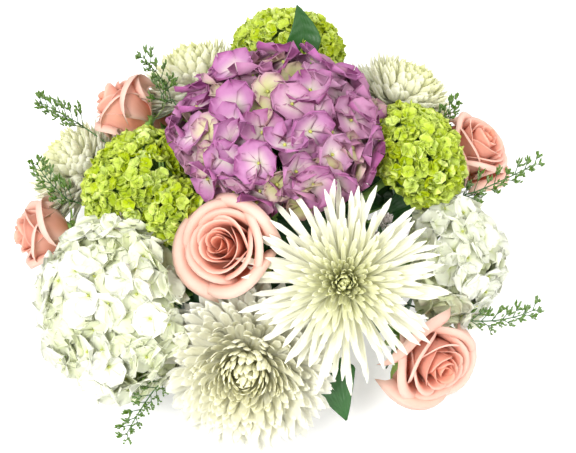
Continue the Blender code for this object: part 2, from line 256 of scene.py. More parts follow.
def maths(tree, operation, a, b=0.0, clamp=False):
    """The output of a maths node; a and b are numbers or sockets."""
    node = tree.nodes.new("ShaderNodeMath")
    node.operation = operation
    node.use_clamp = clamp
    for socket, value in zip(node.inputs, (a, b)):
        if isinstance(value, (int, float)):
            socket.default_value = value
        else:
            tree.links.new(value, socket)
    return node.outputs[0]


def mixed(tree, share, a, b):
    """The mix of two colours; share, a and b are values or sockets."""
    node = tree.nodes.new("ShaderNodeMix")
    node.data_type = "RGBA"
    for socket, value in ((node.inputs[0], share), (node.inputs[6], a), (node.inputs[7], b)):
        if isinstance(value, (int, float)):
            socket.default_value = value
        elif isinstance(value, tuple):
            socket.default_value = (*value, 1.0)
        else:
            tree.links.new(value, socket)
    return node.outputs[2]


def carried(tree, label):
    """The three numbers that a mesh carries under a name."""
    read = tree.nodes.new("ShaderNodeAttribute")
    read.attribute_name = label
    split = tree.nodes.new("ShaderNodeSeparateXYZ")
    tree.links.new(read.outputs["Vector"], split.inputs[0])
    return split.outputs


def noise(tree, scale, detail=3.0):
    """Soft noise fixed to the object; scale is a number or a socket."""
    node = tree.nodes.new("ShaderNodeTexNoise")
    if isinstance(scale, float):
        node.inputs["Scale"].default_value = scale
    else:
        tree.links.new(scale, node.inputs["Scale"])
    node.inputs["Detail"].default_value = detail
    where = tree.nodes.new("ShaderNodeTexCoord")
    tree.links.new(where.outputs["Object"], node.inputs["Vector"])
    return node.outputs[0]


COLOUR, NUMBER = "NodeSocketColor", "NodeSocketFloat"
petal_group, given, out = group_of("petal colour", (
    ("Heart", COLOUR), ("Blade", COLOUR), ("Rim", COLOUR), ("Depth Colour And Shade", COLOUR), ("Heart Reach", NUMBER),
    ("Rim Share", NUMBER), ("Depth Colour And Shade Share", NUMBER), ("Unevenness", NUMBER)),
    (("Color", COLOUR), ("Height", NUMBER)))
along, sideways, tone = carried(petal_group, "petal")
depth_colour_and_shade_rank, edge, _ = carried(petal_group, "head")
mottle = noise(petal_group, 90.0)
past_heart = maths(petal_group, "DIVIDE", along, given.outputs["Heart Reach"], clamp=True)
past_heart = maths(petal_group, "SMOOTH_MIN", past_heart, 1.0)
shade = mixed(petal_group, past_heart, given.outputs["Heart"], given.outputs["Blade"])
shade = mixed(petal_group, maths(petal_group, "MULTIPLY", edge, given.outputs["Rim Share"], True),
              shade, given.outputs["Rim"])
# Petals sunk into the head take the fourth colour: painted shade, and partly the own colour of a mum's eye
# and a rose's heart.
shade = mixed(petal_group, maths(petal_group, "MULTIPLY", depth_colour_and_shade_rank, given.outputs["Depth Colour And Shade Share"], True),
              shade, given.outputs["Depth Colour And Shade"])
uneven = maths(petal_group, "ADD", maths(petal_group, "MULTIPLY", tone, 0.6),
               maths(petal_group, "SUBTRACT", mottle, 0.5))
uneven = maths(petal_group, "MULTIPLY", uneven, given.outputs["Unevenness"])
tint = petal_group.nodes.new("ShaderNodeHueSaturation")
petal_group.links.new(shade, tint.inputs["Color"])
petal_group.links.new(maths(petal_group, "ADD", 1.0, uneven), tint.inputs["Value"])
petal_group.links.new(maths(petal_group, "SUBTRACT", 1.0, uneven), tint.inputs["Saturation"])
petal_group.links.new(tint.outputs[0], out.inputs["Color"])
veins = maths(petal_group, "SINE", maths(petal_group, "MULTIPLY", sideways, 26.0))
petal_group.links.new(maths(petal_group, "ADD", maths(petal_group, "MULTIPLY", veins, 0.5), mottle),
                      out.inputs["Height"])


print("petal colour group:", len(petal_group.nodes), "nodes")

# %% [markdown]
# A living petal is thin, damp and a little waxy: it shines softly and lets light through from behind.
# Each flower's material mixes a satin shader with a translucent one, both fed by the colour group.

# %% Petal materials
def petal_material(name, heart, blade, rim, depth_colour_and_shade, reach=0.4, rim_share=0.6, depth_colour_and_shade_share=0.5,
                   uneven=0.14, glow=0.25, bump=0.15, roughness=0.5):
    """Living petal: a satin skin that lets some of the light through."""
    made = bpy.data.materials.new(name)
    made.use_nodes = True
    tree = made.node_tree
    shader = tree.nodes["Principled BSDF"]
    colours = tree.nodes.new("ShaderNodeGroup")
    colours.node_tree = petal_group
    for label, value in (("Heart", heart), ("Blade", blade), ("Rim", rim), ("Depth Colour And Shade", depth_colour_and_shade)):
        colours.inputs[label].default_value = (*value, 1.0)
    for label, value in (("Heart Reach", reach), ("Rim Share", rim_share), ("Depth Colour And Shade Share", depth_colour_and_shade_share),
                         ("Unevenness", uneven)):
        colours.inputs[label].default_value = value
    relief = tree.nodes.new("ShaderNodeBump")
    relief.inputs["Strength"].default_value = bump
    relief.inputs["Distance"].default_value = 0.3 * MM
    tree.links.new(colours.outputs["Height"], relief.inputs["Height"])
    tree.links.new(relief.outputs[0], shader.inputs["Normal"])
    tree.links.new(colours.outputs["Color"], shader.inputs["Base Color"])
    shader.inputs["Roughness"].default_value = roughness
    shader.inputs["Specular IOR Level"].default_value = 0.3
    if glow > 0:
        through = tree.nodes.new("ShaderNodeBsdfTranslucent")
        tree.links.new(colours.outputs["Color"], through.inputs["Color"])
        both = tree.nodes.new("ShaderNodeMixShader")
        both.inputs[0].default_value = glow
        tree.links.new(shader.outputs[0], both.inputs[1])
        tree.links.new(through.outputs[0], both.inputs[2])
        tree.links.new(both.outputs[0], tree.nodes["Material Output"].inputs["Surface"])
    return made


# The fourth colour of each petal is painted shade for petals sunk into the head, and partly the own colour of
# a mum's eye and a rose's heart.
purple_petal = petal_material("purple_petal", (0.82, 0.84, 0.66), (0.60, 0.24, 0.52), (0.47, 0.11, 0.36),
                              (0.62, 0.40, 0.42), reach=0.62, rim_share=0.75, depth_colour_and_shade_share=0.7, uneven=0.34)
blush_petal = petal_material("blush_petal", (0.72, 0.76, 0.28), (0.74, 0.66, 0.52), (0.55, 0.22, 0.40),
                             (0.50, 0.58, 0.14), reach=0.8, rim_share=0.9, depth_colour_and_shade_share=0.6, uneven=0.3)
white_petal = petal_material("white_petal", (0.80, 0.88, 0.42), (0.94, 0.95, 0.86), (0.96, 0.96, 0.92),
                             (0.72, 0.80, 0.26), reach=0.35, depth_colour_and_shade_share=0.6, uneven=0.08)
lime_petal = petal_material("lime_petal", (0.42, 0.54, 0.02), (0.62, 0.76, 0.05), (0.78, 0.86, 0.22),
                            (0.30, 0.44, 0.01), reach=0.5, uneven=0.3, depth_colour_and_shade_share=0.65)
spider_petal = petal_material("spider_petal", (0.82, 0.84, 0.34), (0.95, 0.94, 0.80), (0.96, 0.96, 0.90),
                              (0.80, 0.82, 0.20), reach=0.45, rim_share=0.5, depth_colour_and_shade_share=0.6, uneven=0.07)
football_petal = petal_material("football_petal", (0.93, 0.91, 0.50), (0.96, 0.95, 0.84),
                                (0.97, 0.97, 0.92), (0.94, 0.91, 0.48), reach=0.45, depth_colour_and_shade_share=0.5,
                                uneven=0.07)
rose_petal = petal_material("rose_petal", (0.90, 0.32, 0.18), (0.94, 0.52, 0.40), (0.96, 0.72, 0.62),
                            (0.90, 0.34, 0.20), reach=0.7, rim_share=0.8, depth_colour_and_shade_share=0.7, uneven=0.1)
button = petal_material("button", (0.45, 0.55, 0.10), (0.62, 0.66, 0.16), (0.7, 0.7, 0.2), (0.5, 0.6, 0.1))
stalk = petal_material("stalk", (0.20, 0.36, 0.07), (0.26, 0.44, 0.10), (0.2, 0.3, 0.06), (0.12, 0.24, 0.05),
                       glow=0.0, uneven=0.2, bump=0.3)
dark_leaf = petal_material("dark_leaf", (0.035, 0.12, 0.03), (0.03, 0.11, 0.025), (0.05, 0.15, 0.04),
                           (0.02, 0.07, 0.02), glow=0.12, uneven=0.3, bump=0.5, roughness=0.38)
sprig_bud = petal_material("sprig_bud", (0.07, 0.15, 0.03), (0.14, 0.24, 0.06), (0.25, 0.32, 0.14),
                           (0.06, 0.12, 0.03), glow=0.0, uneven=0.5)
mauve_bud = petal_material("mauve_bud", (0.30, 0.24, 0.24), (0.50, 0.45, 0.42), (0.74, 0.70, 0.64),
                           (0.2, 0.2, 0.12), glow=0.0, uneven=0.5)
stalk_dark = petal_material("stalk_dark", (0.06, 0.14, 0.05), (0.07, 0.16, 0.05), (0.1, 0.2, 0.08),
                            (0.04, 0.1, 0.04), glow=0.0, uneven=0.3)
print("petal materials made")

# %% [markdown]
# A hydrangea head is a dome of florets. A floret is four sepals round a tiny button, on its own thin
# stalk. The dome is filled along a sunflower spiral, which spreads the florets evenly without rows.

# %% Florets on a dome
TONE_SPREAD = 0.5      # how unlike each other the petals of one head are
SEPAL_THICK = 0.25 * MM
FLORET_STALK = 0.6 * MM
TRUNK = 3 * MM
BUTTON_SHARE = 0.13    # of the length of a sepal


def spiral_dome(head, count, reach, low, seed):
    """Even places on a head's dome, the way each faces, and how far down the dome each is (0 to 1)."""
    random = np.random.default_rng(seed)
    k = (np.arange(count) + 0.5) / count
    drop = np.arccos(1 - k * (1 - math.cos(math.radians(low))))
    turn = np.arange(count) * GOLDEN + random.normal(0, 0.08, count)
    ring = np.sin(drop)
    rise = np.cos(drop)
    wide = head.radius * reach
    tall = np.where(rise > 0, (head.top - head.waist) * reach, head.waist * 0.8)
    out_ways = np.stack([ring * np.cos(turn) / wide, ring * np.sin(turn) / wide, rise / tall], -1)
    places = np.stack([ring * np.cos(turn) * wide, ring * np.sin(turn) * wide, head.waist + rise * tall], -1)
    return places, unit(out_ways + random.normal(0, 0.12, (count, 3)) / wide), drop / drop.max()


def florets(places, ways, size, depth_colour_and_shade_rank, seed, rows, cols, width, cup, bend=-0.1, sepals=4):
    """Sepals of many florets as one batch of petals, with how far each sits in the head, which sets its
    painted shade, and the tone of each.
    """
    random = np.random.default_rng(seed)
    count = len(places)
    side, up = across(ways)
    spin = random.uniform(0, 2 * np.pi, count)[:, None] + np.arange(sepals) * 2 * np.pi / sepals
    spin = (spin + random.normal(0, 0.1, spin.shape)).reshape(-1, 1, 1, 1)
    length = (size * random.uniform(0.88, 1.12, (count, sepals))).reshape(-1, 1, 1)
    s = np.linspace(0, 1, rows)[None, :, None]
    t = np.linspace(-1, 1, cols)[None, None, :]
    half = length * (width * np.sqrt(np.clip(1 - np.abs(2 * s ** 0.8 - 1) ** 2.6, 0, 1)) + 0.03)
    curve = random.normal(bend, 0.12, (count * sepals, 1, 1))
    hollow = random.normal(cup, 0.08, (count * sepals, 1, 1))
    x = length * s
    y = half * t
    z = length * (0.16 * s + curve * s ** 2 + hollow * t ** 2 * s)
    wave = 0.05 * length * np.sin(3 * t + random.uniform(0, 6, (count * sepals, 1, 1))) * s
    z = (z + wave)[..., None]
    x, y = x[..., None] + 0 * y[..., None], y[..., None]
    pick = np.repeat(np.arange(count), sepals)
    a, b, n = (v[pick][:, None, None] for v in (side, up, ways))
    mid = places[pick][:, None, None] + (x * np.cos(spin) - y * np.sin(spin)) * a \
        + (x * np.sin(spin) + y * np.cos(spin)) * b + z * n
    return mid, depth_colour_and_shade_rank[pick], random.normal(0, TONE_SPREAD, count)[pick]


def buttons(places, ways, size):
    """The tiny round heart of each floret."""
    heights = np.array([-0.3, 0.2, 0.8, 1.1]) * size
    paths = places[:, None] + ways[:, None] * heights[None, :, None]
    return rods(paths, np.array([0.5, 0.62, 0.5, 0.12]) * size, 6)


def hydrangea(name, petal, count, floret, reach, seed, low=118.0, rows=5, cols=5, stray=0.28,
              second=None, share=0.0, **shape):
    """A head of florets; stray tips them at random, and a share of them take the second petal."""
    head = heads[name]
    places, ways, drop = spiral_dome(head, count, reach, low, seed)
    random = np.random.default_rng(seed + 50)
    sunk = random.uniform(0, 1, count) ** 1.5
    places = places - ways * (sunk * floret * 0.7)[:, None]
    ways = unit(ways + random.normal(0, stray, (count, 3)))
    # Florets sunk into the head and those low on the dome's side get painted shade from the fourth colour.
    depth_colour_and_shade_rank = np.clip(sunk * 0.7 + np.clip(drop - 0.6, 0, 1) * 1.2, 0, 1)
    world_ways = ways @ np.stack([head.side, head.up, head.axis])
    hub = np.array([0, 0, head.waist * 0.35])
    bends = np.stack([hub + 0 * places, hub + (places - hub) * 0.5 - (0, 0, 0.1 * head.radius), places], 1)
    trunk = np.array([[[0, 0, 0], [0, 0, head.waist * 0.4]]])
    parts = [(button, buttons(head.place(places), world_ways, floret * BUTTON_SHARE)),
             (stalk, rods(head.place(bends), FLORET_STALK, 5)),
             (stalk, rods(head.place(trunk), TRUNK, 8))]
    other = random.uniform(0, 1, count) < share
    for which, skin, size in ((~other, petal, floret), (other, second, floret * 0.8)):
        if which.any():
            mid, depth_colour_and_shade_ranks, tones = florets(places[which], ways[which], size, depth_colour_and_shade_rank[which], seed, rows, cols,
                                        **shape)
            parts.append((skin, sheets(head.place(mid), SEPAL_THICK, depth_colour_and_shade_ranks, tones)))
    grown(name + "_bloom", name, parts)


hydrangea("hydrangea_purple", purple_petal, 112, 16.5 * MM, reach=0.99, seed=11, cup=0.34, width=0.66,
          second=blush_petal, share=0.24)
hydrangea("hydrangea_white_left", white_petal, 150, 13.5 * MM, reach=1.04, seed=12, cup=0.24, width=0.68)
hydrangea("hydrangea_white_right", white_petal, 90, 12.5 * MM, reach=1.06, seed=13, cup=0.24, width=0.68)
hydrangea("hydrangea_white_back", white_petal, 90, 12.5 * MM, reach=1.06, seed=14, cup=0.24, width=0.68)
for number, side_name in enumerate(("left", "right", "back", "small")):
    small = side_name == "small"
    hydrangea("hydrangea_lime_" + side_name, lime_petal, 90 if small else 330, 5.2 * MM,
              reach=1.14 if small else 1.06, low=125.0, rows=4, cols=4, seed=20 + number, cup=0.5, bend=0.1,
              width=0.8, stray=0.4)
print("hydrangeas grown")

# %% [markdown]
# A chrysanthemum packs its petals in the same spiral, from a tight eye to a long outer row. Each petal
# leaves the heart at its own angle and bends along its length, so a rule for angle, bend, length and
# width from the eye outwards gives both the spidery quills and the broad incurved petals.

# %% Chrysanthemums
RAY_THICK = 0.3 * MM
RAY_REACH = 1.12       # the longest petals, as a share of the radius of the head's solid


def ray_petals(head, count, seed, length, width, rise, bend, trough, core, tip):
    """Petals of a ray flower; length, width, rise and bend are (eye, outer) pairs, angles in degrees."""
    random = np.random.default_rng(seed)
    rows, cols = 9, 4
    k = (np.arange(count) + 0.5) / count

    def blend(pair, power=1.0, spread=0.0):
        values = pair[0] + (pair[1] - pair[0]) * k ** power
        return (values * (1 + random.normal(0, spread, count)))[:, None]

    long = blend(length, 0.8, 0.07)
    start = np.radians(blend(rise, 0.7) + random.normal(0, 5, (count, 1)))
    turn = np.radians(blend(bend, 1.0) + random.normal(0, 9, (count, 1)))
    s = np.linspace(0, 1, rows)[None]
    slope = start + turn * s ** 1.3
    step = long / (rows - 1)
    out_run = np.concatenate([np.zeros((count, 1)), np.cumsum(np.cos(slope[:, :-1]) * step, 1)], 1)
    up_run = np.concatenate([np.zeros((count, 1)), np.cumsum(np.sin(slope[:, :-1]) * step, 1)], 1)
    ring = core * np.sqrt(k)[:, None]
    radial = ring + out_run
    height = head.waist * 0.75 + (1 - k[:, None]) * core * 0.8 + up_run
    azimuth = (np.arange(count) * GOLDEN + random.normal(0, 0.05, count))[:, None, None]
    sway = random.normal(0, 0.06, (count, 1, 1)) * (s ** 2)[..., None]
    wide = blend(width)[..., None] * (0.55 + 0.45 * np.sin(np.pi * np.clip(s * 0.8 + 0.1, 0, 1)))[..., None]
    wide = wide * (1 + tip * np.clip(s - 0.75, 0, 1) * 4)[..., None]
    wide = wide * np.sqrt(np.clip(1.02 - np.clip(s * 5 - 4, 0, 1) ** 2, 0.02, 1))[..., None]
    theta = np.linspace(-1, 1, cols)[None, None] * math.radians(trough)
    off = wide * np.sin(theta) / max(math.sin(math.radians(min(trough, 90))), 0.2)
    dip = wide * (1 - np.cos(theta)) * (1 - 0.6 * tip * (s[..., None] > 0.8))
    r = radial[..., None] - dip * np.sin(slope)[..., None]
    z = height[..., None] + dip * np.cos(slope)[..., None]
    turn_by = azimuth + sway
    x = r * np.cos(turn_by) - off * np.sin(turn_by)
    y = r * np.sin(turn_by) + off * np.cos(turn_by)
    mid = np.stack([x, y, z], -1)
    return mid, 1 - k, random.normal(0, TONE_SPREAD, count)


def mum(name, petal, **rule):
    """A chrysanthemum whose petals follow the given rule, over a green cup."""
    head = heads[name]
    mid, depth_colour_and_shade_rank, tones = ray_petals(head, **rule)
    cup = np.array([[[0, 0, 0], [0, 0, head.waist * 0.3], [0, 0, head.waist * 0.75]]])
    # The eye's petals get the fourth colour: partly the eye's own colour, partly painted shade.
    parts = [(petal, sheets(head.place(mid), RAY_THICK, depth_colour_and_shade_rank ** 2, tones)),
             (stalk, rods(head.place(cup), np.array([3.0, 9.0, 12.0]) * MM, 12))]
    grown(name + "_bloom", name, parts)


def ball_rule(name, count, seed):
    """Broad petals that arch up and in, for a full round chrysanthemum."""
    radius = heads[name].radius * RAY_REACH
    return dict(count=count, seed=seed, length=(0.50 * radius, 0.94 * radius), width=(2.6 * MM, 4.9 * MM),
                rise=(78, -36), bend=(58, 66), trough=50, core=0.24 * radius, tip=0.3)


mum("spider_mum", spider_petal, count=330, seed=31, length=(8 * MM, heads["spider_mum"].radius * RAY_REACH),
    width=(1.3 * MM, 2.3 * MM), rise=(98, 2), bend=(40, 4), trough=75, core=11 * MM, tip=0.4)
mum("football_mum_front", football_petal, **ball_rule("football_mum_front", 620, 32))
for number, side_name in enumerate(("mum_back_left", "mum_back_right", "mum_left")):
    mum(side_name, spider_petal, **ball_rule(side_name, 420, 33 + number))
print("chrysanthemums grown")

# %% [markdown]
# A rose is a spiral of cupped petals. The inner ones wrap tightly round each other and the outer ones
# open and roll their rims back. Each petal is a patch of a flaring cup, and one edge tucks inside its
# neighbour.

# %% Roses
ROSE_THICK = 0.4 * MM
ROSE_PETALS = 21
ROSE_SEPALS = 5
BUD_OPENING = 0.84     # the roses on the left are still half closed


def rose(name, opening, seed):
    """A rose; opening is how far its outer petals stand from the heart."""
    head = heads[name]
    petals = ROSE_PETALS
    random = np.random.default_rng(seed)
    rows, cols = 12, 13
    k = np.arange(petals) / (petals - 1)
    s = np.linspace(0, 1, rows)[None, :, None]
    t = np.linspace(-1, 1, cols)[None, None, :]
    q = k[:, None, None]
    azimuth = (np.arange(petals) * GOLDEN + random.normal(0, 0.25, petals))[:, None, None]
    spread = np.radians(150 - 92 * q ** 0.5)
    brim = head.radius * (0.07 + 0.76 * q ** 1.1 * opening) * random.uniform(0.92, 1.08, (petals, 1, 1))
    belly = np.sin(np.pi * 0.5 * np.clip(s * 1.35, 0, 1)) ** 0.8
    tall = head.top * (0.97 - 0.16 * q ** 2 + 0.03 * random.normal(0, 1, petals)[:, None, None])
    radius = brim * (0.30 + 0.70 * belly) + 0.05 * head.radius * (1 - t) * 0.5
    arch = np.sqrt(np.clip(1 - np.abs(t) ** 2.6 * 0.72, 0, 1))
    height = head.top * 0.10 + (tall - head.top * 0.10) * s * arch
    roll = np.clip((s - 0.72) / 0.28, 0, 1) ** 1.6
    radius = radius + roll * head.radius * (0.03 + 0.30 * q ** 2)
    height = height - roll ** 2 * head.top * (0.02 + 0.20 * q ** 2)
    ripple = 0.02 * head.radius * np.sin(4 * t + random.uniform(0, 6, (petals, 1, 1))) * s ** 2
    angle = azimuth + t * spread * (0.35 + 0.65 * np.sqrt(s))
    r = radius + ripple
    mid = np.stack([r * np.cos(angle), r * np.sin(angle), height + 0 * r], -1)
    green = ROSE_SEPALS
    leaf_s = np.linspace(0, 1, 6)[None, :, None]
    leaf_t = np.linspace(-1, 1, 3)[None, None, :]
    turn = (np.arange(green) * 2 * np.pi / green)[:, None, None]
    out_by = head.radius * (0.22 + 0.72 * np.sin(leaf_s * 1.5)) + 0 * leaf_t
    rise_by = head.top * (0.06 + 0.30 * leaf_s ** 2 - 0.16 * leaf_s) + 0 * leaf_t
    half = head.radius * 0.16 * (1 - leaf_s ** 1.5) * leaf_t + 0 * turn
    x = out_by * np.cos(turn) - half * np.sin(turn)
    y = out_by * np.sin(turn) + half * np.cos(turn)
    sepal = np.stack([x, y, rise_by + 0 * turn], -1)
    hip = np.array([[[0, 0, 0], [0, 0, 0.05], [0, 0, 0.13]]]) * head.top
    tones = random.normal(0, TONE_SPREAD, petals)
    # The inner petals get the fourth colour: partly the heart's own colour, partly painted shade.
    parts = [(rose_petal, sheets(head.place(mid), ROSE_THICK, (1 - k) ** 2, tones)),
             (stalk, sheets(head.place(sepal), LEAF_THICK)),
             (stalk, rods(head.place(hip), np.array([0.1, 0.22, 0.30]) * head.radius, 12))]
    grown(name + "_bloom", name, parts)


for number, head_name in enumerate(sorted(n for n in heads if n.startswith("rose"))):
    rose(head_name, BUD_OPENING if "left" in head_name else 1.0, 40 + number)
print("roses grown")

# %% [markdown]
# Stems, leaves and sprigs follow the middle of their solids. Each solid is a row of rings, so walking
# from ring to ring along the mesh's edges gives the path that the finer piece then takes.

# %% Paths through the solids
HEART = np.array([0.0, 0.0, 0.062])            # the stalks spread out from about here, inside the foam
RING = {"leaf": 6, "sprig": 6, "stem": 8}      # points in each ring of a stalk's solid


def rings(name, size):
    """The rings of points along a stalk, from its cut end, each nearest to where the last one led."""
    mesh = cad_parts[name].data
    raw = np.empty(len(mesh.vertices) * 3)
    mesh.vertices.foreach_get("co", raw)
    points, index = np.unique(np.round(raw.reshape(-1, 3), 5), axis=0, return_inverse=True)
    index = index.reshape(-1)
    edges = np.empty(len(mesh.edges) * 2, dtype=int)
    mesh.edges.foreach_get("vertices", edges)
    edges = index[edges.reshape(-1, 2)]
    near = [set() for _ in points]
    for a, b in edges:
        near[a].add(b)
        near[b].add(a)
    way = unit(points.mean(0) - HEART)
    ring = list(np.argsort(points @ way)[:size])
    found, seen = [ring], set(ring)
    step = way * MM
    while True:
        ahead = {b for a in found[-1] for b in near[a]} - seen
        if len(ahead) < size:
            return [points[r] for r in found]
        guess = points[found[-1]].mean(0) + step
        picked = sorted(ahead, key=lambda v: np.linalg.norm(points[v] - guess))[:size]
        step = points[picked].mean(0) - points[found[-1]].mean(0)
        found.append(picked)
        seen |= ahead


def smooth_path(points, count):
    """count points spaced evenly along a smooth curve through the given ones."""
    points = np.asarray(points)
    ends = np.concatenate([2 * points[:1] - points[1:2], points, 2 * points[-1:] - points[-2:-1]])
    run = np.concatenate([[0], np.cumsum(np.linalg.norm(np.diff(points, axis=0), axis=1))])
    at = np.linspace(0, run[-1], count)
    i = np.clip(np.searchsorted(run, at, side="right") - 1, 0, len(points) - 2)
    f = ((at - run[i]) / (run[i + 1] - run[i]))[:, None]
    p0, p1, p2, p3 = ends[i], ends[i + 1], ends[i + 2], ends[i + 3]
    return 0.5 * (2 * p1 + (p2 - p0) * f + (2 * p0 - 5 * p1 + 4 * p2 - p3) * f ** 2
                  + (3 * p1 - p0 - 3 * p2 + p3) * f ** 3)


print("rings along the purple head's stalk:", len(rings("hydrangea_purple_stem", RING["stem"])))

# %% [markdown]
# Florists strip the foot of a stem but leave some leaves under the flower, and these dark leaves fill the
# gaps between the heads. A leaf is a grid of points too, folded along its midrib and bent down at the tip.

# %% Stems and leaves
STEM_LEAVES = 4
STEM_LEAF = 36 * MM
STEM_LEAF_THICK = 0.4 * MM


def foliage(path, count, length, seed):
    """Small leaves left on a stem: middle points of their blades, folded along the midrib."""
    random = np.random.default_rng(seed)
    travel = unit(np.gradient(path, axis=0))
    rows, cols = 12, 7
    s = np.linspace(0, 1, rows)[:, None, None]
    t = np.linspace(-1, 1, cols)[None, :, None]
    blades = []
    for i in range(count):
        at = int(len(path) * random.uniform(0.42, 0.8))
        side, up = across(travel[at])
        turn = random.uniform(0, 0.8) + i * 2 * math.pi / count
        out_way = side * math.cos(turn) + up * math.sin(turn)
        run = unit(travel[at] * random.uniform(0.3, 0.8) + out_way)
        wing = unit(np.cross(run, travel[at]))
        face = np.cross(wing, run)
        long = length * random.uniform(0.8, 1.15)
        half = long * 0.27 * np.sin(np.pi * s ** 0.75) ** 0.8 + 0.4 * MM
        wave = 0.03 * long * np.sin(9 * s + 3 * t) * np.abs(t)
        blades.append(path[at] + run * s * long + wing * half * t
                      + face * (half * 0.3 * np.abs(t) - 0.22 * long * s ** 2 + wave))
    return np.array(blades)


for head_number, head_name in enumerate(heads):
    stem_name = head_name + "_stem"
    walk = rings(stem_name, RING["stem"])
    thick = np.linalg.norm(walk[0] - walk[0].mean(0), axis=1).max()
    path = smooth_path([r.mean(0) for r in walk], 24)
    blades = foliage(path, STEM_LEAVES, STEM_LEAF, 80 + head_number)
    grown(stem_name + "_skin", stem_name, [(stalk, rods(path[None], thick * 0.97, 14)),
                                           (dark_leaf, sheets(blades, STEM_LEAF_THICK))])


def leaf(name):
    """A ribbed blade over the solid's blade, with its midrib and its stalk."""
    walk = rings(name, RING["leaf"])
    middle = np.array([r.mean(0) for r in walk])
    wide = []
    for ring in walk[1:]:
        apart = np.linalg.norm(ring[:, None] - ring[None], axis=-1)
        a, b = np.unravel_index(apart.argmax(), apart.shape)
        wide.append((ring[a] - ring[b]) / 2)
    wide = np.array(wide)
    for i in range(1, len(wide)):
        if wide[i] @ wide[i - 1] < 0:
            wide[i] *= -1
    rows, cols = 30, 13
    path = smooth_path(middle[1:], rows)
    spread = smooth_path(wide, rows)
    travel = unit(np.gradient(path, axis=0))
    up = unit(np.cross(spread, travel))
    up = up * np.sign(up[rows // 2, 2] or 1)
    s = np.linspace(0, 1, rows)[:, None, None]
    t = np.linspace(-1, 1, cols)[None, :, None]
    reach = np.linalg.norm(spread, axis=1)[:, None, None]
    rib = np.cos(s * 46 + np.abs(t) * 5) * 0.35 * MM * (1 - np.abs(t)) * np.abs(t) * 4
    wave = np.sin(s * 14) * t ** 2 * 0.06 * reach
    mid = path[:, None] + spread[:, None] * t * 1.04 + up[:, None] * (reach * 0.2 * np.abs(t) + rib + wave)
    stalk_path = smooth_path(middle[:2], 6)
    midrib = path - up * 0.5 * MM
    parts = [(dark_leaf, sheets(mid[None], LEAF_THICK)),
             (stalk, rods(stalk_path[None], 1.2 * MM, 8)),
             (stalk, rods(midrib[None], np.linspace(1.0, 0.2, rows) * MM, 6))]
    grown(name + "_blade", name, parts)


for node_name in sorted(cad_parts):
    if node_name.startswith("leaf"):
        leaf(node_name)
print("stems and leaves grown")

# %% [markdown]
# A limonium sprig forks again and again into thin twigs, each with small buds in a row on its upper side.
# The main stem follows the solid, and the twigs and buds are worked out from it.

# %% Sprigs
def sprig(name, bud, twigs, length, seed):
    """A forked spray along the solid's stem; length is that of its lowest twigs."""
    random = np.random.default_rng(seed)
    walk = rings(name, RING["sprig"])
    middle = np.array([r.mean(0) for r in walk])
    path = smooth_path(middle, 40)
    spray = smooth_path(middle[1:], twigs + 2)
    travel = unit(np.gradient(spray, axis=0))
    side, up = across(travel)
    twig_paths, bud_paths = [], []

    def buds_on(line, count):
        for f in np.linspace(0.25, 1.0, count):
            at = line[0] * (1 - f) + line[-1] * f + random.normal(0, 0.4 * MM, 3)
            way = unit(unit(line[-1] - line[0]) + np.array([0, 0, 1.2]) + random.normal(0, 0.3, 3))
            bud_paths.append(at + way * np.linspace(0, 3.4 * MM, 4)[:, None])

    for i in range(1, twigs + 2):
        for hand in ((-1) ** i, -((-1) ** i) * 0.8):
            share = 1 - 0.5 * i / (twigs + 1)
            way = unit(travel[i] * 0.8 + side[i] * hand * 0.75 + up[i] * random.uniform(-0.1, 0.5))
            run = length * share * random.uniform(0.7, 1.1) * abs(hand)
            end = spray[i] + way * run
            bow = spray[i] + way * run * 0.5 + up[i] * run * 0.08
            twig_paths.append(np.array([spray[i], bow, end]))
            buds_on(np.array([bow, end]), 5)
            for fork in (-1, 1):
                fork_way = unit(way + side[i] * 0.6 * fork + random.normal(0, 0.2, 3))
                fork_end = bow + fork_way * run * 0.45
                twig_paths.append(np.array([bow, (bow + fork_end) / 2, fork_end]))
                buds_on(np.array([bow, fork_end]), 4)
    buds_on(path[-10:], 6)
    bud_paths = np.array(bud_paths)
    tones = random.normal(0, 0.6, len(bud_paths))
    parts = [(stalk_dark, rods(path[None], np.linspace(1.05, 0.35, 40) * MM, 8)),
             (stalk_dark, rods(np.array(twig_paths), np.array([0.4, 0.3, 0.2]) * MM, 5)),
             (bud, rods(bud_paths, np.array([0.35, 0.75, 0.6, 0.1]) * MM, 5, tone=tones))]
    grown(name + "_spray", name, parts)


for number, node_name in enumerate(sorted(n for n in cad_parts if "sprig" in n)):
    if node_name.startswith("filler"):
        sprig(node_name, mauve_bud, 9, 20 * MM, 60 + number)
    else:
        sprig(node_name, sprig_bud, 7, 18 * MM, 60 + number)
print("sprigs grown")

# %% [markdown]
# The bowl is a glazed dish, turned from its section. Its solid gives the section's points, and a finer
# turning takes the flats away. The foam keeps its own solid and gets the open grain of wet floral foam.

# %% Bowl and foam
mottle_group, given, out = group_of("mottle and grain", (
    ("Dark", COLOUR), ("Light", COLOUR), ("Scale", NUMBER), ("Fineness", NUMBER)),
    (("Color", COLOUR), ("Height", NUMBER)))
patches = noise(mottle_group, given.outputs["Scale"], 6.0)
mottle_group.links.new(mixed(mottle_group, patches, given.outputs["Dark"], given.outputs["Light"]),
                       out.inputs["Color"])
fine_scale = maths(mottle_group, "MULTIPLY", given.outputs["Scale"], given.outputs["Fineness"])
mottle_group.links.new(noise(mottle_group, fine_scale, 4.0), out.inputs["Height"])


